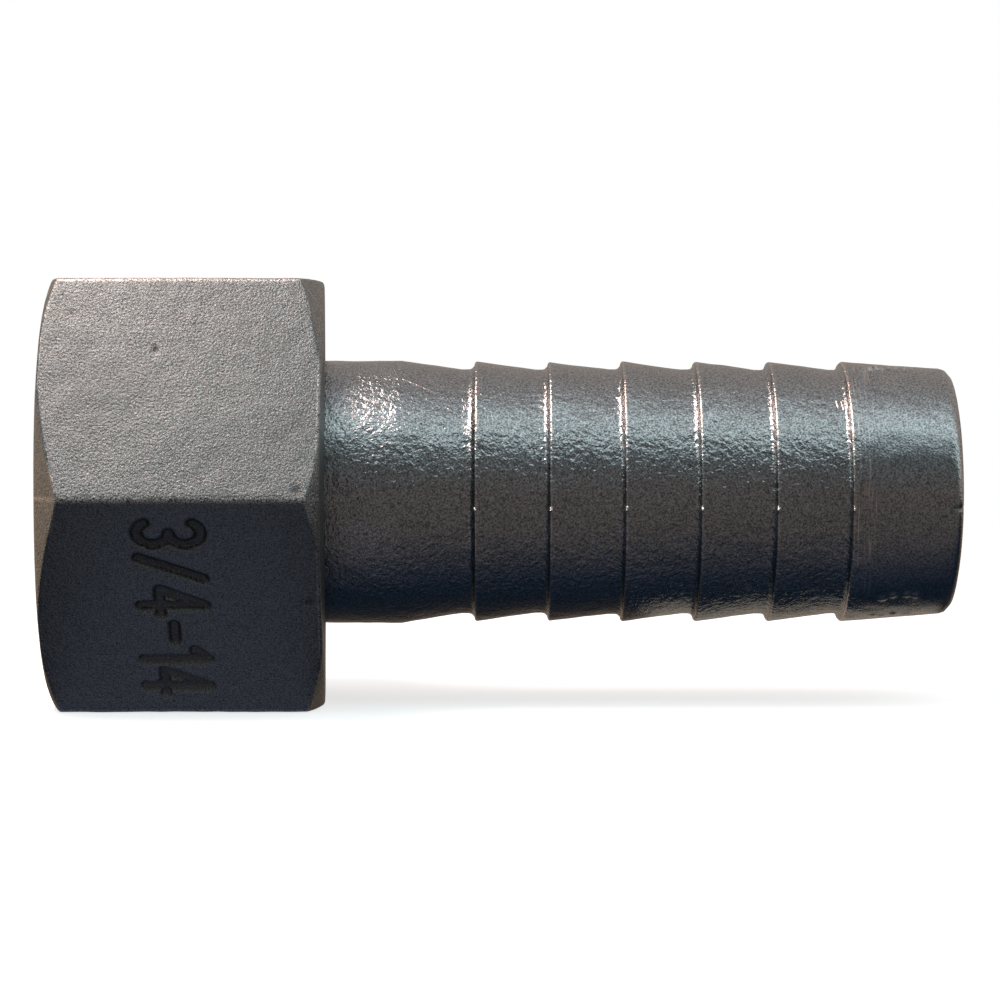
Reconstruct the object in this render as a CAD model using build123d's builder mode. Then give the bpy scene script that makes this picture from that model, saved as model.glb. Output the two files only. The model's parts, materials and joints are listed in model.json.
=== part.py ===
from build123d import *
import math
import os

# Female swivel hose shank: a barbed hose tail for 3/4 inch hose, with a loose hexagon nut for a 3/4 inch
# straight pipe thread and a flat washer that seals on the end of the pipe. All sizes are in millimetres.
# X runs along the bore. X = 0 is the shank's sealing face, the nut's mouth is at -X and the hose end at +X.
# One flat of the hexagon faces down, so the fitting lies on it.

# Hose shank, sized outwards from its bore
bore_diameter = 15.86
shank_wall = 1.79  # at a barb's root, where it is thinnest
barb_depth = 0.63
neck_step = 0.075  # the neck stands this far above the barbs' crests
journal_step = 0.175  # and the journal above the neck, so the nut passes over the barbs
collar_lip = 1.35  # what the nut pulls on
collar_thickness = 3.5
collar_edge_chamfer = 0.3
neck_length = 5.6  # straight, behind the nut
neck_taper_length = 4.8

# Barbs
barb_count = 6
barb_pitch = 5.8
barb_root_length = 1.0  # straight, ahead of each step
tip_land_length = 8.65  # from the last crest to the hose end
tip_land_drop = 0.63
tip_bore_chamfer = 0.4
tip_edge_radius = min(0.9, 0.45 * (shank_wall + barb_depth - tip_land_drop))
barb_root_radius = min(0.45, 0.7 * barb_depth)
barb_crest_radius = min(0.12, 0.19 * barb_depth)

# Seat washer
washer_thickness = 3.0
washer_hole_clearance = 0.57  # outside the bore, so that the washer never narrows the waterway
washer_grip = 0.55  # its rim stands this far outside the thread's crests, which keep it in
washer_edge_radius = 0.3

# Swivel nut, with a pipe thread of 14 threads to the inch
thread_length = 10.0
countersink_depth = 1.55  # at 45 degrees
nut_back_wall = 2.95
nut_wall = 3.37  # between the washer's groove and a flat
mouth_chamfer = 1.3  # along X at a corner of the hexagon
back_chamfer = 1.2
chamfer_angle = 30  # degrees from the end face

# Clearances
nut_float = 0.5  # how far the nut and the washer slide on the shank
journal_clearance = 0.2
collar_clearance = 0.3  # between the collar's rim and its chamber
collar_entry_clearance = 0.2  # between the collar's rim and the thread's crests, as the shank goes in
washer_clearance = 0.6  # between the washer's rim and its groove

# Radii
bore_radius = bore_diameter / 2
root_radius = bore_radius + shank_wall
crest_radius = root_radius + barb_depth
tip_radius = crest_radius - tip_land_drop
neck_radius = crest_radius + neck_step
journal_radius = neck_radius + journal_step
back_hole_radius = journal_radius + journal_clearance
collar_radius = journal_radius + collar_lip
chamber_radius = collar_radius + collar_clearance
thread_minor_radius = collar_radius + collar_entry_clearance
washer_hole_radius = bore_radius + washer_hole_clearance
washer_radius = thread_minor_radius + washer_grip
groove_radius = washer_radius + washer_clearance
flat_radius = groove_radius + nut_wall
corner_radius = flat_radius / math.cos(math.radians(30))
mouth_rim_radius = corner_radius - mouth_chamfer / math.tan(math.radians(chamfer_angle))
back_rim_radius = corner_radius - back_chamfer / math.tan(math.radians(chamfer_angle))

# Places along X
washer_front = -(nut_float + washer_thickness)  # also the inner end of the thread
thread_mouth = washer_front - thread_length
nut_mouth = thread_mouth - countersink_depth
nut_back = collar_thickness + nut_back_wall
neck_end = nut_back + neck_length
first_crest = neck_end + neck_taper_length + barb_root_length
last_crest = first_crest + (barb_count - 1) * barb_pitch
hose_end = last_crest + tip_land_length


def shank_outline():
    """Points (x, radius) of the shank's outside, from the sealing face to the hose end."""
    points = [
        (0, collar_radius),
        (collar_thickness, collar_radius),
        (collar_thickness, journal_radius),
        (nut_back, journal_radius),
        (nut_back, neck_radius),
        (neck_end, neck_radius),
        (neck_end + neck_taper_length, root_radius),
    ]
    for barb in range(barb_count):
        crest = first_crest + barb * barb_pitch
        points += [(crest, root_radius), (crest, crest_radius)]
        if barb < barb_count - 1:
            points.append((crest + barb_pitch - barb_root_length, root_radius))
    points.append((hose_end, tip_radius))
    return points


def at(radius):
    """A test for the corners of an outline that lie at this radius."""
    return lambda corner: abs(corner.Y - radius) < 1e-4


def on_a_step(corner):
    """Is this corner of the shank's outline at the foot or the crest of a barb's step?"""
    steps = [first_crest + barb * barb_pitch for barb in range(barb_count)]
    return any(abs(corner.X - step) < 1e-4 for step in steps)


# The hose tail is one turned and cast piece: collar, journal, neck, barbs and tip on one bore.
with BuildPart() as hose_shank:
    with BuildSketch(Plane.XZ) as shank_section:
        with BuildLine():
            Polyline(
                (0, bore_radius),
                *shank_outline(),
                (hose_end, bore_radius + tip_bore_chamfer),
                (hose_end - tip_bore_chamfer, bore_radius),
                close=True,
            )
        make_face()
        step_corners = shank_section.vertices().filter_by(on_a_step)
        fillet(step_corners.filter_by(at(root_radius)), barb_root_radius)
        fillet(step_corners.filter_by(at(crest_radius)), barb_crest_radius)
        fillet(shank_section.vertices().filter_by(at(tip_radius)).sort_by(Axis.X)[-1], tip_edge_radius)
        chamfer(shank_section.vertices().filter_by(at(collar_radius)), collar_edge_chamfer)
    revolve(axis=Axis.X)

# The nut is a hexagon bar, turned to a cone at both ends, with the thread, the washer's groove,
# the collar's chamber and the hole for the journal bored from its mouth.
with BuildPart() as swivel_nut:
    with BuildSketch(Plane.YZ.offset(nut_mouth)):
        RegularPolygon(radius=flat_radius, side_count=6, major_radius=False)
    extrude(amount=nut_back - nut_mouth)
    with BuildSketch(Plane.XZ):
        with BuildLine():
            Polyline(
                (nut_mouth, 0),
                (nut_mouth, mouth_rim_radius),
                (nut_mouth + mouth_chamfer, corner_radius),
                (nut_back - back_chamfer, corner_radius),
                (nut_back, back_rim_radius),
                (nut_back, 0),
                close=True,
            )
        make_face()
    revolve(axis=Axis.X, mode=Mode.INTERSECT)
    with BuildSketch(Plane.XZ):
        with BuildLine():
            Polyline(
                (nut_mouth, 0),
                (nut_mouth, thread_minor_radius + countersink_depth),
                (thread_mouth, thread_minor_radius),
                (washer_front, thread_minor_radius),
                (washer_front, groove_radius),
                (0, groove_radius),
                (0, chamber_radius),
                (collar_thickness, chamber_radius),
                (collar_thickness, back_hole_radius),
                (nut_back, back_hole_radius),
                (nut_back, 0),
                close=True,
            )
        make_face()
    revolve(axis=Axis.X, mode=Mode.SUBTRACT)

# The washer is a flat rubber ring that lies in the nut's groove, against the thread's inner end.
with BuildPart() as seat_washer:
    with BuildSketch(Plane.XZ) as washer_section:
        with BuildLine():
            Polyline(
                (washer_front, washer_hole_radius),
                (washer_front, washer_radius),
                (washer_front + washer_thickness, washer_radius),
                (washer_front + washer_thickness, washer_hole_radius),
                close=True,
            )
        make_face()
        fillet(washer_section.vertices(), washer_edge_radius)
    revolve(axis=Axis.X)

hose_shank.part.label = "hose_shank"
swivel_nut.part.label = "swivel_nut"
seat_washer.part.label = "seat_washer"

os.makedirs("parts", exist_ok=True)
export_step(hose_shank.part, "parts/hose_shank.step")
export_step(swivel_nut.part, "parts/swivel_nut.step")
export_step(seat_washer.part, "parts/seat_washer.step")
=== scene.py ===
import json
import math
import bpy
import numpy as np
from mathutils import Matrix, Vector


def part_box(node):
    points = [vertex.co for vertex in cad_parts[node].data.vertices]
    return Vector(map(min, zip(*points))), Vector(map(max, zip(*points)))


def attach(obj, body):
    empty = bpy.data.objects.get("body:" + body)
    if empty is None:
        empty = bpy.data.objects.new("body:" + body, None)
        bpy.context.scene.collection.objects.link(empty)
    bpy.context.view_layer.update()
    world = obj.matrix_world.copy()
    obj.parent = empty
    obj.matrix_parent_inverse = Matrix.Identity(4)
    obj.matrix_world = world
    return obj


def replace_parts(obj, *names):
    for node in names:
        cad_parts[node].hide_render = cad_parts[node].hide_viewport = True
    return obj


# A swivel hose shank on a pale floor: a cast barbed tail, a loose hexagon nut and a rubber seat washer.
# Shapes are worked out in millimetres, in the frame's axes: X along the bore, Z up, the viewer on the -Y side.
# Angles round the bore start at the top and run towards the viewer.

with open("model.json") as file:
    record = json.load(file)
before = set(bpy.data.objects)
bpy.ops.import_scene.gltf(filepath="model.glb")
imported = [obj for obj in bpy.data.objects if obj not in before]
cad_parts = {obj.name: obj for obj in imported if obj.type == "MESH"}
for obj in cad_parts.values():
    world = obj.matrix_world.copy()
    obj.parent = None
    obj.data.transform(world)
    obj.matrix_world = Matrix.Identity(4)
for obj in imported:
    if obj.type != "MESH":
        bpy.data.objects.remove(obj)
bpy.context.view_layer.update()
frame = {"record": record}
mm = 0.001  # in the frame's metres
mounts = {m["name"]: m["dims"] for m in frame["record"]["mounts"]}
shankLow, shankHigh = (np.array(c) * 1000 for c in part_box("hose_shank"))
nutLow, nutHigh = (np.array(c) * 1000 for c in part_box("swivel_nut"))
washerLow, washerHigh = (np.array(c) * 1000 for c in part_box("seat_washer"))
print("frame loaded, nut", nutLow.round(2), nutHigh.round(2))


def addMesh(name, grid, body, material, sharpAngle, marks=None):
    # grid is rows x columns x 3 in mm: the rows follow a closed profile and the columns go once round the bore.
    # Each face joins a point to the next column and row, so that it points outwards, and both directions wrap,
    # so the skin is closed. marks are values at each point, for the material to read.
    rows, columns = grid.shape[:2]
    here = np.arange(rows * columns).reshape(rows, columns)
    nextColumn = np.roll(here, -1, axis=1)
    nextRow = np.roll(here, -1, axis=0)
    both = np.roll(nextColumn, -1, axis=0)
    quads = np.stack([here, nextColumn, both, nextRow], axis=-1).reshape(-1)
    mesh = bpy.data.meshes.new(name)
    mesh.vertices.add(rows * columns)
    mesh.vertices.foreach_set("co", (grid * mm).astype(np.float32).reshape(-1))
    mesh.loops.add(quads.size)
    mesh.loops.foreach_set("vertex_index", quads.astype(np.int32))
    mesh.polygons.add(quads.size // 4)
    mesh.polygons.foreach_set("loop_start", np.arange(0, quads.size, 4, dtype=np.int32))
    mesh.polygons.foreach_set("use_smooth", np.ones(quads.size // 4, dtype=bool))
    mesh.update(calc_edges=True)
    mesh.validate()
    mesh.set_sharp_from_angle(angle=math.radians(sharpAngle))
    for label, values in (marks or {}).items():
        layer = mesh.attributes.new(label, "FLOAT", "POINT")
        spread = np.broadcast_to(values, (rows, columns)).astype(np.float32)
        layer.data.foreach_set("value", spread.reshape(-1))
    mesh.materials.append(material)
    piece = bpy.data.objects.new(name, mesh)
    bpy.context.scene.collection.objects.link(piece)
    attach(piece, body)
    print(name, "faces", quads.size // 4)
    return piece


def roundTheBore(x, radius, angle):
    # a point at a distance from the bore's axis, at an angle from the top towards the viewer
    x, radius, angle = np.broadcast_arrays(x, radius, angle)
    return np.stack([x, -radius * np.sin(angle), radius * np.cos(angle)], axis=-1)


def waves(points, length, seed, count=48):
    # the sum of many sine waves of about one length (mm), each in its own direction, as uneven as cast metal
    rng = np.random.default_rng(seed)
    directions = rng.normal(size=(count, 3))
    directions /= np.linalg.norm(directions, axis=1, keepdims=True)
    directions *= 2 * np.pi / (length * rng.uniform(0.7, 1.5, (count, 1)))
    phases = rng.uniform(0, 2 * np.pi, count)
    return np.sin(points @ directions.T + phases).sum(-1) * math.sqrt(2 / count)


def roundedPath(corners, closed=True, arcStep=22):
    # corners are (x, radius, rounding, spacing): each corner becomes an arc that is tangent to both its sides,
    # with a point for about every arcStep degrees, and the side that follows it is cut into even steps; an open
    # path ends at its last corner
    points = np.array([c[:2] for c in corners], float)
    ahead = np.roll(points, -1, axis=0) - points
    length = np.linalg.norm(ahead, axis=1)
    out = ahead / length[:, None]
    back = -np.roll(out, 1, axis=0)
    turn = np.pi - np.arccos(np.clip((out * back).sum(1), -1, 1))
    rounding = np.array([c[2] for c in corners])
    tangent = rounding * np.tan(turn / 2)
    path = []
    for i, (point, corner) in enumerate(zip(points, corners)):
        start, end = point + back[i] * tangent[i], point + out[i] * tangent[i]
        if rounding[i] > 0:
            middle = (back[i] + out[i]) / np.linalg.norm(back[i] + out[i])
            centre = point + middle * rounding[i] / math.cos(turn[i] / 2)
            share = np.linspace(0, 1, max(3, round(math.degrees(turn[i]) / arcStep)))[:, None]
            arc = start * (1 - share) + end * share - centre
            path.append(centre + arc / np.linalg.norm(arc, axis=1, keepdims=True) * rounding[i])
        else:
            path.append(point[None])
        if not closed and i == len(points) - 1:
            break
        j = (i + 1) % len(points)
        stop = points[j] + back[j] * tangent[j]
        steps = max(1, math.ceil(np.linalg.norm(stop - end) / corner[3]))
        share = np.arange(1, steps)[:, None] / steps
        path.append(end * (1 - share) + stop * share)
    return np.concatenate(path)


# Materials

def fromHex(code):
    # an sRGB colour such as "8c9091", turned to linear light
    channels = np.array([int(code[i:i + 2], 16) for i in (0, 2, 4)]) / 255
    linear = np.where(channels <= 0.04045, channels / 12.92, ((channels + 0.055) / 1.055) ** 2.4)
    return (*linear.tolist(), 1.0)


def addNode(tree, kind, inputs, **settings):
    # one node with its settings; an input is a value or the output that feeds it
    node = tree.nodes.new(kind)
    for name, value in settings.items():
        setattr(node, name, value)
    for name, value in inputs.items():
        if isinstance(value, bpy.types.NodeSocket):
            tree.links.new(value, node.inputs[name])
        else:
            node.inputs[name].default_value = value
    return node


def perMetre(size):
    # how many times a pattern repeats in a metre, from its size in mm
    return 1000 / size


def newMaterial(name):
    # a material with an empty node tree, ready to be filled
    material = bpy.data.materials.new(name)
    material.use_nodes = True
    material.node_tree.nodes.clear()
    return material, material.node_tree


cloudRange = (0.3, 0.7)  # the values that nearly all of the clouds' noise lies between

castSteel = {
    "dark": "b6b8b8", "light": "d2d3d2",  # the metal's own colour, in clouds
    "speck": "76777a", "speckRange": (0.35, 0.62),  # the finest specks, where the grain's noise is low
    "worn": "e6d9d0",  # rubbed crests and scratches, tinted warm as a painted highlight of the overhead lamp along the crests and rim
    "cloud": 6.0,  # mm across a cloud
    "peel": 0.43, "peelDepth": 0.11,  # mm, the crumpled orange-peel skin left by the shell mould
    "peelOnLand": 0.22, "landFade": 1.5,  # the share that is left on the last land, and mm until it is so low
    "grain": 0.14, "grainDepth": 0.022,  # mm
    "turning": 0.14, "turningZone": 1.9,  # mm, tool lines at the start of the last land
    "turningStretch": 0.05, "turningRange": (0.55, 0.7),  # how drawn out they are, and how few of them show
    "roughness": (0.15, 0.2),
    # each scratch: x (mm) and angle (degrees) of its two ends, and its width (mm)
    "scratches": [((12.3, 30.4), (14.9, 38.6), 0.08), ((27.6, 262.0), (30.4, 251.0), 0.04),
                  ((48.6, 215.0), (51.2, 222.0), 0.05), ((45.95, 41.5), (46.05, 46.0), 0.1),
                  ((46.35, 42.5), (46.45, 47.5), 0.1), ((46.68, 44.0), (46.72, 47.0), 0.08)],
    "scratchDepth": 0.03,  # mm
}


def scratch(tree, place, start, end, width):
    # 1 within the width of the straight line between two points, fading to 0: the nearest point of the line is
    # the start plus the share of the way along it
    along = end - start
    away = addNode(tree, "ShaderNodeVectorMath", {0: place, 1: start.tolist()}, operation="SUBTRACT")
    perLength = (along / (along @ along)).tolist()
    share = addNode(tree, "ShaderNodeVectorMath", {0: away.outputs["Vector"], 1: perLength},
                    operation="DOT_PRODUCT")
    limited = addNode(tree, "ShaderNodeClamp", {"Value": share.outputs["Value"]})
    nearest = addNode(tree, "ShaderNodeVectorMath", {0: along.tolist(), "Scale": limited.outputs["Result"]},
                      operation="SCALE")
    gap = addNode(tree, "ShaderNodeVectorMath", {0: away.outputs["Vector"], 1: nearest.outputs["Vector"]},
                  operation="DISTANCE")
    line = addNode(tree, "ShaderNodeMapRange", {"Value": gap.outputs["Value"], "From Min": width * mm / 2,
                                                "From Max": width * mm, "To Min": 1.0, "To Max": 0.0})
    return line.outputs["Result"]


def makeCastSteel(landStart, radiusAt):
    # investment-cast stainless steel, tumbled: satin, with soft clouds and an orange-peel skin that breaks up
    # the highlight, brighter where the crests are rubbed or scratched, that brighter colour also being a warm
    # painted highlight, and fine tool lines round the last land.
    # The scratches lie on the outside, whose radius radiusAt gives.
    s = castSteel
    material, tree = newMaterial("castStainlessTumbled")
    place = addNode(tree, "ShaderNodeTexCoord", {}).outputs["Object"]
    cloud = addNode(tree, "ShaderNodeTexNoise", {"Vector": place, "Scale": perMetre(s["cloud"]), "Detail": 5.0,
                                                 "Roughness": 0.6})
    tone = addNode(tree, "ShaderNodeMixRGB", {"Fac": cloud.outputs["Fac"], "Color1": fromHex(s["dark"]),
                                              "Color2": fromHex(s["light"])})
    grain = addNode(tree, "ShaderNodeTexNoise", {"Vector": place, "Scale": perMetre(s["grain"]), "Detail": 3.0})
    specks = addNode(tree, "ShaderNodeMapRange", {"Value": grain.outputs["Fac"], "From Min": s["speckRange"][0],
                                                  "From Max": s["speckRange"][1], "To Min": 1.0, "To Max": 0.0})
    specked = addNode(tree, "ShaderNodeMixRGB", {"Fac": specks.outputs["Result"],
                                                 "Color1": tone.outputs["Color"],
                                                 "Color2": fromHex(s["speck"])})
    # rubbed crests, rim, nubs and lumps, whose brighter colour also paints a highlight
    rubbedAndHighlit = addNode(tree, "ShaderNodeAttribute", {}, attribute_name="wear").outputs["Fac"]
    scratched = None
    for (startX, startAngle), (endX, endAngle), width in s["scratches"]:
        start = roundTheBore(startX, radiusAt(startX), math.radians(startAngle)) * mm
        end = roundTheBore(endX, radiusAt(endX), math.radians(endAngle)) * mm
        line = scratch(tree, place, start, end, width)
        scratched = line if scratched is None else addNode(tree, "ShaderNodeMath", {0: scratched, 1: line},
                                                           operation="MAXIMUM").outputs["Value"]
    bright = addNode(tree, "ShaderNodeMath", {0: rubbedAndHighlit, 1: scratched}, operation="MAXIMUM")
    along = addNode(tree, "ShaderNodeSeparateXYZ", {"Vector": place})
    onLand = addNode(tree, "ShaderNodeMapRange", {"Value": along.outputs["X"], "From Min": landStart * mm,
                                                  "From Max": (landStart + s["landFade"]) * mm})
    around = addNode(tree, "ShaderNodeMapping", {"Vector": place, "Scale": (1.0, s["turningStretch"],
                                                                            s["turningStretch"])})
    lines = addNode(tree, "ShaderNodeTexNoise", {"Vector": around.outputs["Vector"],
                                                 "Scale": perMetre(s["turning"]), "Detail": 2.0})
    cut = addNode(tree, "ShaderNodeMapRange", {"Value": lines.outputs["Fac"], "From Min": s["turningRange"][0],
                                               "From Max": s["turningRange"][1]})
    # 1 within the zone, less a twentieth of it at each end
    atStart = addNode(tree, "ShaderNodeMath", {0: along.outputs["X"],
                                               1: (landStart + s["turningZone"] / 2) * mm,
                                               2: s["turningZone"] * 0.45 * mm}, operation="COMPARE")
    linesThere = addNode(tree, "ShaderNodeMath", {0: cut.outputs["Result"], 1: atStart.outputs["Value"]},
                         operation="MULTIPLY")
    brightest = addNode(tree, "ShaderNodeMath", {0: linesThere.outputs["Value"], 1: bright.outputs["Value"]},
                        operation="MAXIMUM")
    # the brighter worn colour here is partly a painted warm highlight
    colour = addNode(tree, "ShaderNodeMixRGB", {"Fac": brightest.outputs["Value"],
                                                "Color1": specked.outputs["Color"],
                                                "Color2": fromHex(s["worn"])})
    peel = addNode(tree, "ShaderNodeTexNoise", {"Vector": place, "Scale": perMetre(s["peel"]), "Detail": 2.0,
                                                "Roughness": 0.5, "Distortion": 0.4})
    peeled = addNode(tree, "ShaderNodeMapRange", {"Value": onLand.outputs["Result"], "To Min": 1.0,
                                                  "To Max": s["peelOnLand"]})
    skin = addNode(tree, "ShaderNodeAttribute", {}, attribute_name="skin").outputs["Fac"]
    crumple = addNode(tree, "ShaderNodeMath", {0: peeled.outputs["Result"], 1: skin}, operation="MULTIPLY")
    bump1 = addNode(tree, "ShaderNodeBump", {"Height": peel.outputs["Fac"], "Distance": s["peelDepth"] * mm,
                                             "Strength": crumple.outputs["Value"]})
    bump2 = addNode(tree, "ShaderNodeBump", {"Height": grain.outputs["Fac"], "Normal": bump1.outputs["Normal"],
                                             "Distance": s["grainDepth"] * mm})
    bump3 = addNode(tree, "ShaderNodeBump", {"Height": scratched, "Normal": bump2.outputs["Normal"],
                                             "Distance": s["scratchDepth"] * mm})
    gloss = addNode(tree, "ShaderNodeMapRange", {"Value": cloud.outputs["Fac"], "From Min": cloudRange[0],
                                                 "From Max": cloudRange[1], "To Min": s["roughness"][0],
                                                 "To Max": s["roughness"][1]})
    shader = addNode(tree, "ShaderNodeBsdfPrincipled", {"Base Color": colour.outputs["Color"], "Metallic": 1.0,
                                                        "Roughness": gloss.outputs["Result"],
                                                        "Normal": bump3.outputs["Normal"]})
    addNode(tree, "ShaderNodeOutputMaterial", {"Surface": shader.outputs["BSDF"]})
    return material


nutSteel = {
    "dark": "808788", "light": "8f9596",
    "pit": "5a5856", "pitRange": (0.35, 0.6),  # dirt in the pits, where the specks' noise is low; the same colour is painted shade in the mark and the knocks
    "dirt": 0.6,  # how much of that colour lies in the mark and the knocks, as painted shade in their recesses
    "worn": "dcd8d2", "wornRange": (0.4, 0.6),  # rubbed edges, partly a painted highlight along the corners and creases, where the specks' noise is high
    "cloud": 9.0,  # mm
    "grit": 0.21, "gritDepth": 0.02,  # mm, the even grain that blasting leaves
    "grain": 0.19, "grainDepth": 0.04,  # mm
    "speck": 0.1, "speckDepth": 0.02,  # mm
    "roughness": (0.4, 0.5),
}


def makeNutSteel():
    # investment-cast stainless steel, blasted: matt grey with a fine even grain, dirt in its smallest pits,
    # painted shade in the recessed mark and the knocks, and rubbed, brighter edges that also carry a painted
    # highlight
    s = nutSteel
    material, tree = newMaterial("castStainlessBlasted")
    place = addNode(tree, "ShaderNodeTexCoord", {}).outputs["Object"]
    cloud = addNode(tree, "ShaderNodeTexNoise", {"Vector": place, "Scale": perMetre(s["cloud"]), "Detail": 6.0,
                                                 "Roughness": 0.65})
    grain = addNode(tree, "ShaderNodeTexNoise", {"Vector": place, "Scale": perMetre(s["grain"]), "Detail": 3.0,
                                                 "Roughness": 0.6})
    grit = addNode(tree, "ShaderNodeTexVoronoi", {"Vector": place, "Scale": perMetre(s["grit"])})
    speck = addNode(tree, "ShaderNodeTexNoise", {"Vector": place, "Scale": perMetre(s["speck"]), "Detail": 2.0})
    tone = addNode(tree, "ShaderNodeMixRGB", {"Fac": cloud.outputs["Fac"], "Color1": fromHex(s["dark"]),
                                              "Color2": fromHex(s["light"])})
    pits = addNode(tree, "ShaderNodeMapRange", {"Value": speck.outputs["Fac"], "From Min": s["pitRange"][0],
                                                "From Max": s["pitRange"][1], "To Min": 1.0, "To Max": 0.0})
    # painted shade in the mark's recess and in the knocks, added to the pits
    dirt = addNode(tree, "ShaderNodeAttribute", {}, attribute_name="dirt")
    shadeAndPits = addNode(tree, "ShaderNodeMath", {0: dirt.outputs["Fac"], 1: s["dirt"], 2: pits.outputs["Result"]},
                    operation="MULTIPLY_ADD", use_clamp=True)
    pittedAndShaded = addNode(tree, "ShaderNodeMixRGB", {"Fac": shadeAndPits.outputs["Value"], "Color1": tone.outputs["Color"],
                                                "Color2": fromHex(s["pit"])})
    # rubbed corners, creases and chamfers, the corners and creases also carrying a painted highlight
    wear = addNode(tree, "ShaderNodeAttribute", {}, attribute_name="wear")
    patches = addNode(tree, "ShaderNodeMapRange", {"Value": speck.outputs["Fac"], "From Min": s["wornRange"][0],
                                                   "From Max": s["wornRange"][1]})
    rubbedAndHighlit = addNode(tree, "ShaderNodeMath", {0: wear.outputs["Fac"], 1: patches.outputs["Result"]},
                     operation="MULTIPLY")
    colour = addNode(tree, "ShaderNodeMixRGB", {"Fac": rubbedAndHighlit.outputs["Value"],
                                                "Color1": pittedAndShaded.outputs["Color"],
                                                "Color2": fromHex(s["worn"])})
    bump1 = addNode(tree, "ShaderNodeBump", {"Height": grit.outputs["Distance"],
                                             "Distance": s["gritDepth"] * mm}, invert=True)
    bump2 = addNode(tree, "ShaderNodeBump", {"Height": grain.outputs["Fac"], "Normal": bump1.outputs["Normal"],
                                             "Distance": s["grainDepth"] * mm})
    bump3 = addNode(tree, "ShaderNodeBump", {"Height": speck.outputs["Fac"], "Normal": bump2.outputs["Normal"],
                                             "Distance": s["speckDepth"] * mm})
    gloss = addNode(tree, "ShaderNodeMapRange", {"Value": cloud.outputs["Fac"], "From Min": cloudRange[0],
                                                 "From Max": cloudRange[1], "To Min": s["roughness"][0],
                                                 "To Max": s["roughness"][1]})
    shader = addNode(tree, "ShaderNodeBsdfPrincipled", {"Base Color": colour.outputs["Color"], "Metallic": 1.0,
                                                        "Roughness": gloss.outputs["Result"],
                                                        "Normal": bump3.outputs["Normal"]})
    addNode(tree, "ShaderNodeOutputMaterial", {"Surface": shader.outputs["BSDF"]})
    return material


washerRubber = {
    "dark": "1a1a1b", "light": "2b2b2c",
    "bloom": 3.0,  # mm
    "grain": 0.25, "grainDepth": 0.01,  # mm
    "roughness": 0.72,
}


def makeWasherRubber():
    # moulded nitrile rubber: near-black and matt, with a faint grey bloom
    s = washerRubber
    material, tree = newMaterial("nitrileRubberMoulded")
    place = addNode(tree, "ShaderNodeTexCoord", {}).outputs["Object"]
    bloom = addNode(tree, "ShaderNodeTexNoise", {"Vector": place, "Scale": perMetre(s["bloom"]), "Detail": 4.0})
    tone = addNode(tree, "ShaderNodeMixRGB", {"Fac": bloom.outputs["Fac"], "Color1": fromHex(s["dark"]),
                                              "Color2": fromHex(s["light"])})
    grain = addNode(tree, "ShaderNodeTexNoise", {"Vector": place, "Scale": perMetre(s["grain"]), "Detail": 2.0})
    bump = addNode(tree, "ShaderNodeBump", {"Height": grain.outputs["Fac"], "Distance": s["grainDepth"] * mm})
    shader = addNode(tree, "ShaderNodeBsdfPrincipled", {"Base Color": tone.outputs["Color"],
                                                        "Roughness": s["roughness"],
                                                        "Normal": bump.outputs["Normal"]})
    addNode(tree, "ShaderNodeOutputMaterial", {"Surface": shader.outputs["BSDF"]})
    return material


# Hose shank

shank = {
    "collarThickness": 3.5,
    "journalRadius": 10.6, "journalEnd": 5.1,
    "neckTaper": 4.8,  # from the neck to the first root
    "barbs": 6, "pitch": 5.8,
    "crestRadius": 10.35, "rootRadius": 9.72,
    "rootLength": 1.0, "tipRadius": 9.72,
    # mm: each barb's foot, its crest, the hollow before it, the neck's end, the collar, the turned corners
    # inside the nut, and the hose end outside and inside
    "footRounding": 0.45, "crestRounding": 0.18, "rootRounding": 1.2, "neckRounding": 0.8,
    "collarRounding": 0.3, "turnedRounding": 0.1, "tipRounding": 0.9, "boreRounding": 0.4,
    "columns": 330, "sharpAngle": 40,  # degrees between two faces, past which their edge is drawn sharp
    # mm between rows: on the collar, on each step up, on the lands, beside the nubs, on the last land, on the
    # hose end's face and in the bore
    "collarRows": 0.7, "stepRows": 0.2, "landRows": 0.36, "nubRows": 0.12, "lastLandRows": 0.18,
    "endRows": 0.25, "boreRows": 3.0,
    "swell": 7.0, "swellHeight": 0.02,  # mm, the casting's unevenness
    "peel": 1.5, "peelHeight": 0.008,  # mm
    "skinInBore": 0.25,  # the share of the orange-peel skin that is left in the bore and on the turned faces
    "skinAtNut": 0.4, "skinFade": 3.0,  # the share beside the nut, and the length (mm) over which it comes back
    # nubs where the mould's halves met: the angle (degrees), then mm, the last the reach of the close rows
    "nubAngle": 95.9, "nubHeight": 0.24, "nubSize": 0.2, "nubFromCrest": 0.02, "nubZone": 0.8,
    # worn lumps of metal on the last land, from the mould: x (mm), angle (degrees) and height (mm) of each
    "lumps": [(48.9, 19, 0.3), (49.4, 17, 0.3), (49.9, 18, 0.2), (50.5, 14, 0.2), (51.1, 14.5, 0.25),
              (51.8, 14, 0.2), (52.3, 14, 0.2), (49.6, 143, 0.12), (50.4, 141, 0.12), (51.5, 141, 0.12),
              (52.2, 142, 0.12), (49.2, 161, 0.1), (49.9, 163, 0.08), (50.8, 161, 0.11), (51.9, 163, 0.09)],
    "lumpSize": 0.33, "lumpRadius": 10.05,  # mm, and how far the lumps' centres are from the axis
    # mm, a notch in the hose end at the mould's joint, which gets deeper over notchRamp
    "notchDepth": 0.12, "notchSize": 0.16, "notchLength": 1.2, "notchRamp": 0.3,
    # mm, how wide the rubbed crests and rim are and how far down they reach, and how strong the rim is; both
    # bands also carry a painted highlight
    "rubbedCrest": 0.16, "crestReach": 0.12, "rubbedRim": 0.12, "rimReach": 0.6, "rimStrength": 0.7,
}


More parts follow.
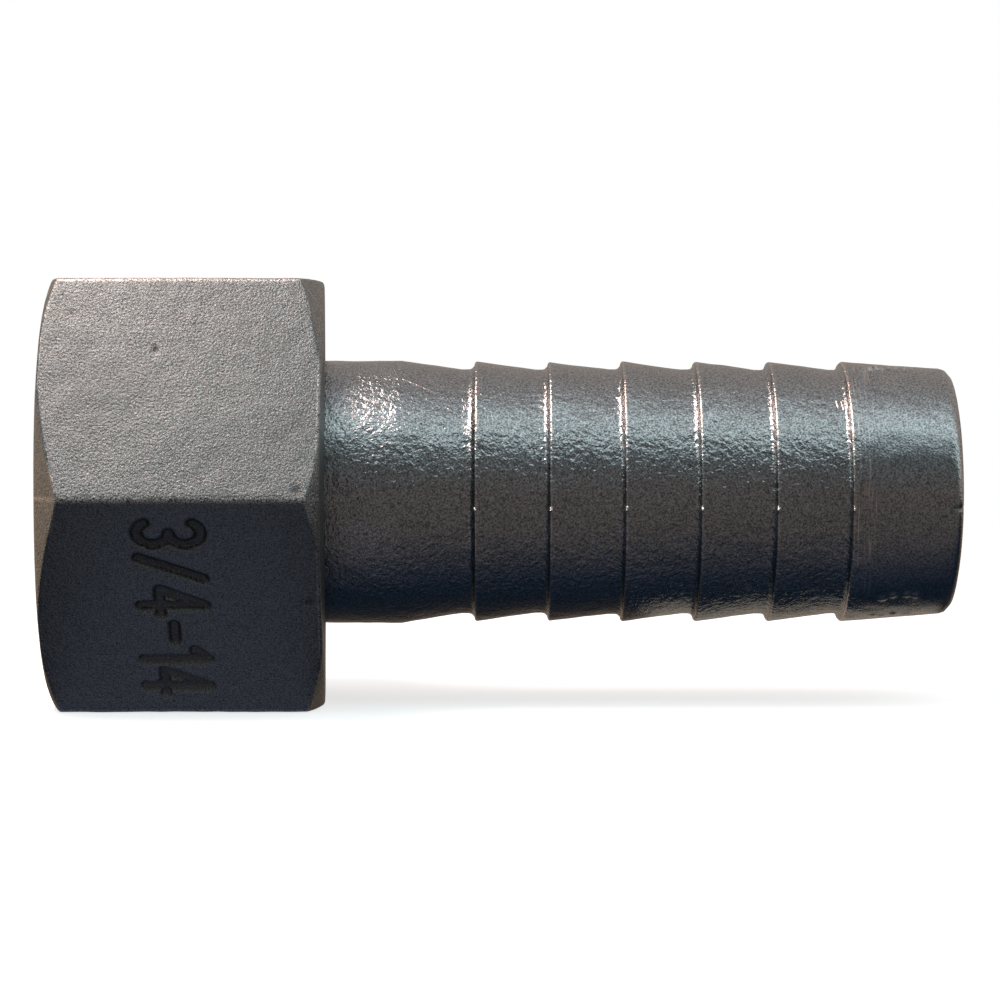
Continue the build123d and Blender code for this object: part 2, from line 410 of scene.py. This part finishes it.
def makeShank():
    # a profile carried round the bore: along the outside from the sealing face to the hose end, and back
    s = shank
    face, hoseEnd = shankLow[0], shankHigh[0]
    collarRadius, boreRadius = shankHigh[2], mounts["waterway"]["r_mm"]
    neckRadius, neckLength = mounts["hose_neck"]["r_mm"], mounts["hose_neck"]["length_mm"]
    nutBack = nutHigh[0]
    neckEnd = nutBack + neckLength
    firstCrest = neckEnd + s["neckTaper"] + s["rootLength"]
    crests = firstCrest + s["pitch"] * np.arange(s["barbs"])
    corners = [
        (face, boreRadius, s["turnedRounding"], s["collarRows"]),
        (face, collarRadius, s["collarRounding"], s["collarRows"]),
        (s["collarThickness"], collarRadius, s["collarRounding"], s["collarRows"]),
        (s["collarThickness"], s["journalRadius"], s["turnedRounding"], s["collarRows"]),
        (s["journalEnd"], s["journalRadius"], 0, s["stepRows"]),
        (s["journalEnd"], neckRadius, 0, s["landRows"]),
        (neckEnd, neckRadius, s["neckRounding"], s["landRows"]),
        (neckEnd + s["neckTaper"], s["rootRadius"], s["rootRounding"], s["landRows"]),
    ]
    for crest in crests:
        # the first part of each land has closer rows, for the nub
        if crest < crests[-1]:
            landEnd = (crest + s["pitch"] - s["rootLength"], s["rootRadius"], s["rootRounding"], s["landRows"])
            rows = s["landRows"]
        else:
            landEnd = (hoseEnd, s["tipRadius"], s["tipRounding"], s["endRows"])
            rows = s["lastLandRows"]
        fall = (s["crestRadius"] - landEnd[1]) / (landEnd[0] - crest)
        corners += [
            (crest, s["rootRadius"], s["footRounding"], s["stepRows"]),
            (crest, s["crestRadius"], s["crestRounding"], s["nubRows"]),
            (crest + s["nubZone"], s["crestRadius"] - s["nubZone"] * fall, 0, rows),
            landEnd,
        ]
    corners.append((hoseEnd, boreRadius, s["boreRounding"], s["boreRows"]))
    path = roundedPath(corners)
    x, radius = path[:, :1], path[:, 1:]
    angle = 2 * np.pi * np.arange(s["columns"]) / s["columns"]
    grid = roundTheBore(x, radius, angle)
    # the cast skin starts past the journal and ends short of the bore
    outside = (radius > boreRadius + 0.5) & (x > s["journalEnd"] + 0.01)
    uneven = s["swellHeight"] * waves(grid, s["swell"], 3) + s["peelHeight"] * waves(grid, s["peel"], 4)
    nubs = np.zeros(grid.shape[:2])
    for crest in crests:
        for side in (0, np.pi):
            across = (angle - math.radians(s["nubAngle"]) - side + np.pi) % (2 * np.pi) - np.pi
            away = np.hypot(x - crest - s["nubFromCrest"], across * s["crestRadius"])
            nubs += np.exp(-(away / s["nubSize"]) ** 2) * s["nubHeight"]
    lumps = np.zeros(grid.shape[:2])
    for lumpX, lumpAngle, height in s["lumps"]:
        centre = roundTheBore(lumpX, s["lumpRadius"], math.radians(lumpAngle))
        away = np.linalg.norm(grid - centre, axis=-1)
        lumps = np.maximum(lumps, height * np.exp(-(away / s["lumpSize"]) ** 4))
    across = (angle - math.radians(s["nubAngle"]) + np.pi) % (2 * np.pi) - np.pi
    inNotch = np.clip((x - hoseEnd + s["notchLength"]) / s["notchRamp"], 0, 1)
    notch = np.exp(-(across * s["tipRadius"] / s["notchSize"]) ** 2) * inNotch
    radius = radius + outside * (uneven + nubs + lumps - s["notchDepth"] * notch)
    grid = roundTheBore(x, radius, angle)

    # where the metal is rubbed bright, partly as a painted highlight: along the crests, round the rim, and on
    # the nubs and lumps
    outline = path[:, 1:]
    fromCrest = np.abs(x - crests[None]).min(axis=1, keepdims=True) / s["rubbedCrest"]
    fromRim = (x - hoseEnd + s["tipRounding"] / 3) / s["rubbedRim"]
    crestWearAndHighlight = np.exp(-fromCrest ** 2) * (outline > s["crestRadius"] - s["crestReach"])
    rimWearAndHighlight = s["rimStrength"] * np.exp(-fromRim ** 2) * (outline > s["tipRadius"] - s["rimReach"])
    wear = np.clip(crestWearAndHighlight + rimWearAndHighlight + nubs / s["nubHeight"] + lumps / lumps.max(), 0, 1)

    def radiusAt(where):
        # the outside's radius at a place along the bore
        outer = outside[:, 0]
        return float(np.interp(where, path[outer, 0], path[outer, 1]))

    skin = np.clip(s["skinAtNut"] + (1 - s["skinAtNut"]) * (x - nutBack) / s["skinFade"], s["skinAtNut"], 1)
    steel = makeCastSteel(crests[-1], radiusAt)
    return addMesh("hose_shank_cast", grid, "shank", steel, s["sharpAngle"],
                   {"wear": wear, "skin": np.where(outside, skin, s["skinInBore"])})


# Swivel nut

nut = {
    # mm along each corner of the hexagon, from the upper front one down and round: unevenly turned cones
    "mouthChamfer": (1.06, 2.3, 1.13, 1.3, 1.4, 1.2),
    "backChamfer": (1.8, 1.06, 1.35, 1.3, 1.2, 1.4),
    # the back was faced out of square: mm along for each mm to the rear, where that starts, and how far past
    # the collar's chamber it starts inside
    "backSlant": 0.054, "slantFrom": -10.4, "slantInside": 0.3,
    "chamferSlope": math.sqrt(3),  # mm inwards for each mm along
    "leastChamfer": 0.3, "chamferZone": 2.9, "rimRounding": 0.22, "creaseRounding": 0.08,  # mm
    "edgeSharpness": 150,  # the higher, the crisper the hexagon's corners
    "rubbedEdge": 0.006, "rubbedCrease": 0.1,  # how wide the rubbed and painted-highlight bands are: a share of the radius, and mm
    "turned": (0.22, 0.55),  # how much brighter the turned chamfers are, at the mouth and at the back
    "countersink": 13.7,
    "threadMajor": 13.3, "threadPitch": 25.4 / 14, "threadFlat": 0.12,  # each flat's share of the pitch
    "groove": 13.3, "chamber": 12.25, "backHole": 10.8,
    "collarThickness": 3.5,
    "columnsPerFace": 36, "columnsUpperFace": 84, "columnsMarkedFace": 136, "sharpAngle": 50,  # degrees
    "crowding": 0.5, "crowdingMarked": 0.15,  # how much closer the columns lie at the hexagon's corners
    "spacing": 0.3, "spacingAtMark": 0.12,  # mm
    "swell": 8.0, "swellHeight": 0.015,  # mm
    "ripple": 2.2, "rippleHeight": 0.007,  # mm
    # x (mm), angle (degrees), size and depth (mm) of the knocks in the skin
    "dents": [(-6.1, 49.1, 0.22, 0.16), (-12.7, 38.7, 0.2, 0.1), (4.9, 88.0, 0.4, 0.1), (5.6, 118.0, 0.3, 0.1)],
    "markHeight": 4.8, "markLength": 15.7, "markStroke": 0.8, "markDepth": 0.42, "markEdge": 0.04,  # mm
    "markStart": 1.9, "markX": -4.7,  # mm from the front corner, and along the bore
    "markMargin": 3.0,  # mm to each side of its middle that have close rows
}


def strokeDistance(across, along, strokes):
    # how far each point of a face is from the nearest stroke, each stroke being a line through its points
    nearest = np.full(np.broadcast(across, along).shape, np.inf)
    for stroke in strokes:
        for a, b in zip(stroke[:-1], stroke[1:]):
            direction = b - a
            share = ((across - a[0]) * direction[0] + (along - a[1]) * direction[1]) / (direction @ direction)
            share = np.clip(share, 0, 1)
            gap = np.hypot(across - a[0] - share * direction[0], along - a[1] - share * direction[1])
            nearest = np.minimum(nearest, gap)
    return nearest


def sizeMark(height, length):
    # the thread's size, 3/4 inch with 14 threads to the inch, as strokes, x to the right and y up, drawn 4 high
    # and then stretched to the height and length; each sign comes with the room it takes
    def arc(middle, start, end):
        # part of an ellipse, between two angles in degrees
        turn = np.radians(np.linspace(start, end, 12))[:, None]
        return np.hstack([0.9 * np.cos(turn), np.sin(turn)]) + middle

    four = np.array([[1.9, 1.2], [0, 1.2], [1.3, 4], [1.3, 0]])
    one = np.array([[0, 3.2], [0.7, 4], [0.7, 0]])
    slash = np.array([[0, 0], [1.7, 4]])
    dash = np.array([[0, 2], [1.2, 2]])
    signs = [([arc((0.9, 3), 150, -90), arc((0.9, 1), 90, -150)], 2.9), ([slash], 2.6), ([four], 2.9),
             ([dash], 2.1), ([one], 1.7), ([four], 2.0)]
    wide = sum(advance for sign, advance in signs)
    strokes, reached = [], 0.0
    for sign, advance in signs:
        strokes += [(stroke + [reached, 0]) * [length / wide, height / 4] for stroke in sign]
        reached += advance
    return strokes


def chamferDepth(angle, depths):
    # each corner's depth fades out over the 60 degrees to the next corner, as the square of a cosine
    away = (angle - np.radians(30 + 60 * np.arange(6))[:, None] + np.pi) % (2 * np.pi) - np.pi
    share = np.where(np.abs(away) < np.pi / 3, np.cos(1.5 * away) ** 2, 0)
    return (np.array(depths)[:, None] * share).sum(0)


def softLeast(limits, rounding):
    # the least of several limits, with the creases between them rounded off
    least = limits.min(0)
    return least - rounding * np.log(np.exp(-(limits - least) / rounding).sum(0))


def makeNut():
    # The outside is the least of a hexagon, worked out from the six faces' normals, and of two uneven cones.
    # The inside is a profile carried round the bore, with the thread as a triangle wave that winds along it.
    s = nut
    mouth, back, flat = nutLow[0], nutHigh[0], nutHigh[2]
    corner = nutHigh[1]
    minor, threadLength = mounts["thread"]["r_mm"], mounts["thread"]["length_mm"]
    threadEnd = mouth + (s["countersink"] - minor) + threadLength

    # columns crowd towards the hexagon's corners, and the two faces in front have more of them
    columns = []
    for face in range(6):
        count = {0: s["columnsUpperFace"], 1: s["columnsMarkedFace"]}.get(face, s["columnsPerFace"])
        crowding = s["crowdingMarked"] if face == 1 else s["crowding"]
        share = 2 * (np.arange(count) + 0.5) / count - 1
        columns.append(60 * face + 60 + 30 * (share + crowding * np.sin(np.pi * share) / np.pi))
    angle = np.radians(np.concatenate(columns))

    closeness = np.cos(angle - np.radians(60 * np.arange(6))[:, None])
    nearest = closeness.max(0)
    softest = nearest + np.log(np.exp((closeness - nearest) * s["edgeSharpness"]).sum(0)) / s["edgeSharpness"]
    hexagon = flat / softest
    mouthDepth = chamferDepth(angle, s["mouthChamfer"])
    backDepth = chamferDepth(angle, s["backChamfer"])
    shortfall = (corner - hexagon) / s["chamferSlope"]
    mouthCrease = mouth + np.maximum(mouthDepth - shortfall, s["leastChamfer"])
    backCrease = back - np.maximum(backDepth - shortfall, s["leastChamfer"])

    # rows follow the crease of each chamfer, and lie closer where the mark is: shares of the way to the crease,
    # then mm past it, then even steps to where the rows are straight
    shares = np.array([0, 0.03, 0.09, 0.2, 0.38, 0.58, 0.76, 0.89, 0.96, 1.0])[:, None]
    beyond = np.array([0.05, 0.12, 0.25])[:, None]
    onwards = (np.arange(1, 9) / 9)[:, None]
    mouthRows = mouth + (mouthCrease - mouth) * shares
    mouthNext = mouthCrease + beyond
    mouthOn = mouthNext[-1] + (mouth + s["chamferZone"] - mouthNext[-1]) * onwards
    backRows = back + (backCrease - back) * shares
    backNext = backCrease - beyond
    backOn = backNext[-1] + (back - s["chamferZone"] - backNext[-1]) * onwards
    markFrom, markTo = s["markX"] - s["markMargin"], s["markX"] + s["markMargin"]
    middle = np.concatenate([np.arange(mouth + s["chamferZone"], markFrom, s["spacing"]),
                             np.arange(markFrom, markTo, s["spacingAtMark"]),
                             np.arange(markTo, back - s["chamferZone"] - 0.1, s["spacing"]),
                             [back - s["chamferZone"]]])[:, None] + 0 * angle
    outerX = np.concatenate([mouthRows, mouthNext, mouthOn, middle,
                             backOn[::-1], backNext[::-1], backRows[::-1]])
    mouthCone = corner - s["chamferSlope"] * (mouthDepth - (outerX - mouth))
    backCone = corner - s["chamferSlope"] * (backDepth - (back - outerX))
    outer = softLeast(np.stack([hexagon + 0 * outerX, mouthCone, backCone]), s["creaseRounding"])
    fromEnd = np.clip(np.minimum(outerX - mouth, back - outerX), 0, s["rimRounding"])
    outer = outer - s["rimRounding"] + np.sqrt(s["rimRounding"] ** 2 - (s["rimRounding"] - fromEnd) ** 2)

    # from the back to the mouth; each end starts a little way out on its end face
    onFace = 0.5
    inside = roundedPath([
        (back, s["backHole"] + onFace, 0, 0.3),
        (back, s["backHole"], 0.15, 0.8),
        (s["collarThickness"], s["backHole"], 0.05, 0.5),
        (s["collarThickness"], s["chamber"], 0.1, 0.9),
        (0, s["chamber"], 0.05, 0.4),
        (0, s["groove"], 0.1, 0.9),
        (threadEnd, s["groove"], 0, 0.3),
        (threadEnd, minor, 0, s["threadPitch"] / 8),
        (mouth + s["countersink"] - minor, minor, 0, s["threadPitch"] / 8),
        (mouth, s["countersink"], 0.1, 0.3),
        (mouth, s["countersink"] + onFace, 0, 1.0),
    ], closed=False)
    x, radius = inside[:, :1] + 0 * angle, inside[:, 1:] + 0 * angle
    turns = (x - threadEnd) / s["threadPitch"] - angle / (2 * np.pi)
    tooth = np.clip((np.abs((turns % 1) * 2 - 1) - s["threadFlat"]) / (1 - 2 * s["threadFlat"]), 0, 1)
    thread = minor + (s["threadMajor"] - minor) * tooth
    cut = (x > mouth + 0.02) & (x < threadEnd - 0.001)
    radius = np.where(cut, np.maximum(radius, thread), radius)

    # end faces, from the outside's last row to the inside's first and back
    shares = np.array([0.1, 0.4, 0.7])[:, None]
    backRadius = outer[-1] + (radius[0] - outer[-1]) * shares
    mouthRadius = outer[0] + (radius[-1] - outer[0]) * shares[::-1]
    allX = np.concatenate([outerX, back + 0 * backRadius, x, mouth + 0 * mouthRadius])
    allRadius = np.concatenate([outer, backRadius, radius, mouthRadius])
    grid = roundTheBore(allX, allRadius, angle)

    # cast skin: unevenness, knocks and the recessed size mark go into the outside only
    outside = (np.arange(len(allX)) < len(outerX))[:, None]
    move = s["swellHeight"] * waves(grid, s["swell"], 11) + s["rippleHeight"] * waves(grid, s["ripple"], 12)
    # how far each point lies in a knock, for the painted shade that darkens it
    knockShade = np.zeros(grid.shape[:2])
    for dentX, dentAngle, size, depth in s["dents"]:
        faceRadius = flat / math.cos(math.radians((dentAngle + 30) % 60 - 30))
        centre = roundTheBore(dentX, faceRadius, math.radians(dentAngle))
        away = np.linalg.norm(grid - centre, axis=-1)
        move = move - depth * np.exp(-(away / size) ** 2)
        knockShade = knockShade + np.exp(-(away / size) ** 4)
    # the mark's recess is 1 within its strokes and 0 outside, with a soft edge, whose exponent is kept finite
    down = flat * (math.tan(math.radians(30)) + np.tan(angle - math.radians(120)))
    onMarkedFace = np.abs(angle - math.radians(120)) < math.radians(29)
    gap = strokeDistance(down - s["markStart"], allX - s["markX"] + s["markHeight"] / 2,
                         sizeMark(s["markHeight"], s["markLength"]))
    recess = onMarkedFace / (1 + np.exp(np.clip((gap - s["markStroke"] / 2) / s["markEdge"], -50, 50)))
    move = move - s["markDepth"] * recess
    grid = roundTheBore(allX, allRadius + outside * move, angle)
    slantStart = np.where(outside, 0.0, s["collarThickness"] + s["slantInside"])
    grid[..., 0] -= (s["backSlant"] * np.maximum(grid[..., 1] - s["slantFrom"], 0)
                     * np.clip((grid[..., 0] - slantStart) / (back - slantStart), 0, 1))

    # where the metal is rubbed: the hexagon's corners, the creases of the chamfers, and the chamfers
    # themselves; along the corners and creases it is also a painted highlight
    edge = np.clip((nearest.min() + s["rubbedEdge"] - nearest) / s["rubbedEdge"], 0, 1)
    nearCrease = np.minimum(np.abs(allX - mouthCrease), np.abs(allX - backCrease))
    chamfered = np.minimum(mouthCrease - mouth, back - backCrease) > s["leastChamfer"] + 0.01
    crease = np.exp(-(nearCrease / s["rubbedCrease"]) ** 2) * chamfered
    cones = np.where(allX < mouthCrease, s["turned"][0], np.where(allX > backCrease, s["turned"][1], 0))
    wear = np.maximum(np.maximum(edge, crease), cones) * outside
    # the mark's recess and the knocks carry painted shade into the material
    return addMesh("swivel_nut_cast", grid, "nut", makeNutSteel(), s["sharpAngle"],
                   {"wear": wear, "dirt": np.maximum(recess, knockShade) * outside})


# Seat washer

washer = {
    "holeRadius": 8.5,
    "edgeRounding": 0.3,
    "clearance": 0.03,  # mm, so that it only just touches the shank at the end of its travel
    "columns": 240, "spacing": 0.35, "sharpAngle": 50,  # mm and degrees
    "swell": 5.0, "swellHeight": 0.015, "swellFrom": 10,  # mm, the last being the radius where it starts
}


def makeWasher():
    # a rounded rectangle carried round the bore, its rim slightly uneven
    s = washer
    front, rear, rim = washerLow[0], washerHigh[0] - s["clearance"], washerHigh[2]
    path = roundedPath([
        (front, s["holeRadius"], s["edgeRounding"], s["spacing"]),
        (front, rim, s["edgeRounding"], s["spacing"]),
        (rear, rim, s["edgeRounding"], s["spacing"]),
        (rear, s["holeRadius"], s["edgeRounding"], s["spacing"]),
    ])
    angle = 2 * np.pi * np.arange(s["columns"]) / s["columns"]
    x, radius = path[:, :1], path[:, 1:]
    uneven = s["swellHeight"] * np.abs(waves(roundTheBore(x, radius, angle), s["swell"], 21))
    grid = roundTheBore(x, radius - uneven * (radius > s["swellFrom"]), angle)
    return addMesh("seat_washer_rubber", grid, "washer", makeWasherRubber(), s["sharpAngle"])


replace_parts(makeShank(), "hose_shank")
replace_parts(makeNut(), "swivel_nut")
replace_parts(makeWasher(), "seat_washer")
print("pieces made")


# Studio

studio = {
    "distance": 239.4, "lens": 108, "sensor": 36,  # mm
    "sight": (0.01, 20),  # m, the nearest and the farthest that the camera sees
    "elevation": 2.1,  # degrees above the horizon
    "aim": (19.85, 0.0, -0.68),  # mm, the point in the middle of the view
    # the floor's colour, its own glow, half its width and the distances between which it fades out (m)
    "floor": "f4f4f2", "floorGlow": 0.68, "floorReach": 4.0, "floorFade": (0.05, 0.3),
    # each lamp: where it stands and what it points at (mm), its width and height (mm), its power (W) and its
    # colour. The strip hangs over the object, the wall is warm and stands behind it, and the last two lie on
    # the floor and light the undersides of the barbs and of the nut.
    "lamps": {
        "strip": ((-34, -7, 100), (19.85, 0, 0), (84, 40), 0.1, "ffe2d8"),
        "wall": ((-200, 150, 5), (-10, 0, 0), (150, 150), 0.035, "ffd2a8"),
        "bounce": ((45, 8.5, -16.2), (45, 3, 0), (24, 12), 0.0002, "fff0dc"),
        "table": ((-4.5, -24, -16.62), (-4.5, -24.05, 0), (20, 30), 0.00021, "d0d8ff"),
    },
    # the tent of cloth round the object: degrees from the viewer's horizon up and over the top to the far side,
    # how bright it is there and its tint
    "tent": [
        (-180, 0.45, "ffe4cc"), (-152, 0.06, "ffe8d8"), (-125, 0.032, "a8d0ff"), (-98, 0.038, "94c4ff"),
        (-70, 0.072, "ccdaff"), (-39, 0.118, "fff4f2"), (0, 0.15, "fff0ec"), (26, 0.155, "f4fbff"),
        (43, 0.19, "e2f6fc"), (54, 1.05, "e2f6fc"), (66, 1.35, "e8f9fc"), (79, 0.78, "f2fbff"),
        (97, 0.47, "fafbff"), (115, 0.43, "fff6f2"), (130, 0.42, "fff6f2"), (180, 0.38, "ffeee0"),
    ],
}


def aimAt(thing, target):
    # turns a lamp or a camera, which look along their own -Z, towards a point in metres
    direction = Vector(target) - thing.location
    thing.rotation_euler = direction.to_track_quat("-Z", "Y").to_euler()


def makeStudio():
    s = studio
    scene = bpy.context.scene
    scene.view_settings.view_transform = "Standard"
    tilt = math.radians(s["elevation"])
    aim = np.array(s["aim"])
    cameraData = bpy.data.cameras.new("camera")
    cameraData.lens, cameraData.sensor_width = s["lens"], s["sensor"]
    cameraData.clip_start, cameraData.clip_end = s["sight"]
    camera = bpy.data.objects.new("camera", cameraData)
    camera.location = (aim + s["distance"] * np.array([0, -math.cos(tilt), math.sin(tilt)])) * mm
    aimAt(camera, aim * mm)
    scene.collection.objects.link(camera)
    scene.camera = camera
    for name, (place, target, size, power, colour) in s["lamps"].items():
        lampData = bpy.data.lights.new(name, "AREA")
        lampData.shape = "RECTANGLE"
        lampData.size, lampData.size_y = size[0] * mm, size[1] * mm
        lampData.energy, lampData.color = power, fromHex(colour)[:3]
        lamp = bpy.data.objects.new(name, lampData)
        lamp.location = np.array(place) * mm
        aimAt(lamp, np.array(target) * mm)
        lamp.visible_camera = False
        scene.collection.objects.link(lamp)

    # the tent is white to the camera, and the metal sees its soft gradient: the angle round the X axis picks
    # the brightness
    world = bpy.data.worlds.new("studio")
    scene.world = world
    world.use_nodes = True
    tree = world.node_tree
    tree.nodes.clear()
    towards = addNode(tree, "ShaderNodeTexCoord", {}).outputs["Generated"]
    parts = addNode(tree, "ShaderNodeSeparateXYZ", {"Vector": towards})
    front = addNode(tree, "ShaderNodeMath", {0: parts.outputs["Y"], 1: -1.0}, operation="MULTIPLY")
    turn = addNode(tree, "ShaderNodeMath", {0: parts.outputs["Z"], 1: front.outputs["Value"]},
                   operation="ARCTAN2")
    share = addNode(tree, "ShaderNodeMapRange", {"Value": turn.outputs["Value"], "From Min": -math.pi,
                                                 "From Max": math.pi})
    ramp = addNode(tree, "ShaderNodeValToRGB", {"Fac": share.outputs["Result"]})
    stops = ramp.color_ramp.elements
    for degrees, brightness, tint in s["tent"][1:-1]:
        stops.new((degrees + 180) / 360)
    for stop, (degrees, brightness, tint) in zip(stops, s["tent"]):
        stop.color = (*(np.array(fromHex(tint)[:3]) * brightness).tolist(), 1)
    seen = addNode(tree, "ShaderNodeBackground", {"Color": (1, 1, 1, 1), "Strength": 1.0})
    felt = addNode(tree, "ShaderNodeBackground", {"Color": ramp.outputs["Color"], "Strength": 1.0})
    ray = addNode(tree, "ShaderNodeLightPath", {})
    both = addNode(tree, "ShaderNodeMixShader", {"Fac": ray.outputs["Is Camera Ray"],
                                                 1: felt.outputs["Background"], 2: seen.outputs["Background"]})
    addNode(tree, "ShaderNodeOutputWorld", {"Surface": both.outputs["Shader"]})

    # a pale floor that fades into the white further out
    corners = np.array([[-1, -1], [1, -1], [1, 1], [-1, 1]]) * s["floorReach"]
    low = nutLow[2] * mm
    mesh = bpy.data.meshes.new("floor")
    mesh.from_pydata([(x, y, low) for x, y in corners], [], [(0, 1, 2, 3)])
    material, tree = newMaterial("paleFloor")
    place = addNode(tree, "ShaderNodeTexCoord", {}).outputs["Object"]
    far = addNode(tree, "ShaderNodeVectorMath", {0: place}, operation="LENGTH")
    fade = addNode(tree, "ShaderNodeMapRange", {"Value": far.outputs["Value"], "From Min": s["floorFade"][0],
                                                "From Max": s["floorFade"][1]})
    matt = addNode(tree, "ShaderNodeBsdfDiffuse", {"Color": fromHex(s["floor"])})
    glow = addNode(tree, "ShaderNodeEmission", {"Color": (1, 1, 1, 1), "Strength": s["floorGlow"]})
    lit = addNode(tree, "ShaderNodeAddShader", {0: matt.outputs["BSDF"], 1: glow.outputs["Emission"]})
    clear = addNode(tree, "ShaderNodeBsdfTransparent", {})
    mixed = addNode(tree, "ShaderNodeMixShader", {"Fac": fade.outputs["Result"], 1: lit.outputs["Shader"],
                                                  2: clear.outputs["BSDF"]})
    addNode(tree, "ShaderNodeOutputMaterial", {"Surface": mixed.outputs["Shader"]})
    mesh.materials.append(material)
    floor = bpy.data.objects.new("floor", mesh)
    floor.visible_diffuse = False
    floor.visible_glossy = False
    scene.collection.objects.link(floor)


makeStudio()
print("studio made")
